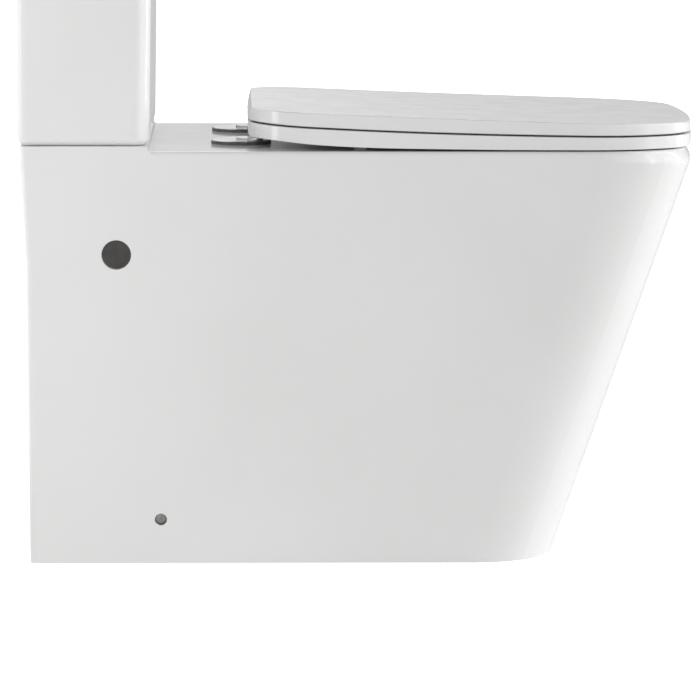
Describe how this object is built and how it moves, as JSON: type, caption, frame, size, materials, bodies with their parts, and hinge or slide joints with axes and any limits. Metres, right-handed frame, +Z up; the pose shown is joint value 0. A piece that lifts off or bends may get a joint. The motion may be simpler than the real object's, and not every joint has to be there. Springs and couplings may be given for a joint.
{
  "type": "close coupled toilet",
  "caption": "Back to wall close coupled toilet with a fully skirted pan, a cistern with dual flush button, and a slim seat and lid on soft close hinges.",
  "frame": {"origin": "centre of the footprint's bounding box at floor level", "axes": "+Z up, -Y towards the front of the pan, +Y towards the wall, X across"},
  "size_m": [0.363, 0.66, 0.8524],
  "materials": {
    "glazed_ceramic": "glossy white glaze",
    "seat_plastic": "glossy white",
    "chrome_plastic": "polished",
    "valve_plastic": "satin grey white",
    "nut_plastic": "satin",
    "float_plastic": "satin blue",
    "rubber": "matt",
    "foam_rubber": "matt foam",
    "bumper_rubber": "matt, white",
    "zinc_steel": "zinc plated",
    "stainless": "satin",
    "polished_steel": "mirror polished",
    "bracket_plastic": "satin",
    "screw_steel": "zinc plated",
    "pipe_plastic": "satin white"
  },
  "bodies": {
    "pan_and_cistern": {"cistern_bolt_plate_washers": "zinc_steel", "cistern_bolt_rubber_washers": "rubber", "cistern_bolts": "zinc_steel", "cistern_tank": "glazed_ceramic", "cistern_wing_nuts": "zinc_steel", "coupling_gasket": "foam_rubber", "fill_valve_body": "valve_plastic", "fill_valve_nut": "nut_plastic", "fill_valve_washer": "rubber", "floor_brackets": "bracket_plastic", "flush_valve_base": "valve_plastic", "flush_valve_gasket": "rubber", "flush_valve_head": "valve_plastic", "flush_valve_nut": "nut_plastic", "hinge_discs": "polished_steel", "hinge_pins": "stainless", "hinge_posts": "polished_steel", "hinge_stud_nuts": "nut_plastic", "hinge_stud_washers": "rubber", "lever_pin": "stainless", "outlet_connector": "pipe_plastic", "outlet_seal": "rubber", "pan": "glazed_ceramic", "side_fixing_screws": "screw_steel"},
    "seat": {"seat_ring": "seat_plastic", "seat_bumpers": "bumper_rubber"},
    "lid": {"seat_lid": "seat_plastic", "lid_bumpers": "bumper_rubber"},
    "cistern_cover": {"cistern_lid": "glazed_ceramic", "button_bezel": "chrome_plastic"},
    "full_flush_key": {"full_flush_button": "chrome_plastic"},
    "half_flush_key": {"half_flush_button": "chrome_plastic"},
    "flush_lift": {"flush_valve_core": "valve_plastic", "flush_valve_seal": "rubber"},
    "float": {"fill_float": "float_plastic"},
    "float_lever": {"fill_valve_lever": "float_plastic"}
  },
  "joints": [
    {"name": "seat_hinge", "type": "hinge", "parent": "pan_and_cistern", "child": "seat", "pos_m": [0, 0.1032, 0.4178], "axis": [-1, 0, 0], "range_deg": [0, 92]},
    {"name": "lid_hinge", "type": "hinge", "parent": "seat", "child": "lid", "pos_m": [0, 0.1032, 0.4178], "axis": [1, 0, 0], "range_deg": [-94, 0]},
    {"name": "cistern_lid_lift", "type": "slide", "parent": "pan_and_cistern", "child": "cistern_cover", "axis": [0, 0, 1], "range_m": [0, 0.15]},
    {"name": "full_flush_press", "type": "slide", "parent": "cistern_cover", "child": "full_flush_key", "axis": [0, 0, -1], "range_m": [0, 0.008], "stiffness_N_per_m": 300, "springref_m": -0.006},
    {"name": "half_flush_press", "type": "slide", "parent": "cistern_cover", "child": "half_flush_key", "axis": [0, 0, -1], "range_m": [0, 0.008], "stiffness_N_per_m": 300, "springref_m": -0.006},
    {"name": "flush_valve_lift", "type": "slide", "parent": "pan_and_cistern", "child": "flush_lift", "axis": [0, 0, 1], "range_m": [0, 0.02]},
    {"name": "float_rise", "type": "slide", "parent": "pan_and_cistern", "child": "float", "axis": [0, 0, 1], "range_m": [0, 0.012]},
    {"name": "float_lever_turn", "type": "hinge", "parent": "pan_and_cistern", "child": "float_lever", "pos_m": [0.125, 0.283, 0.71], "axis": [-1, 0, 0], "range_deg": [0, 16]}
  ],
  "couplings": [
    {"joint": "flush_valve_lift", "follows": "full_flush_press", "ratio": 2.5},
    {"joint": "float_lever_turn", "follows": "float_rise", "rad_per_m": 22.7}
  ]
}
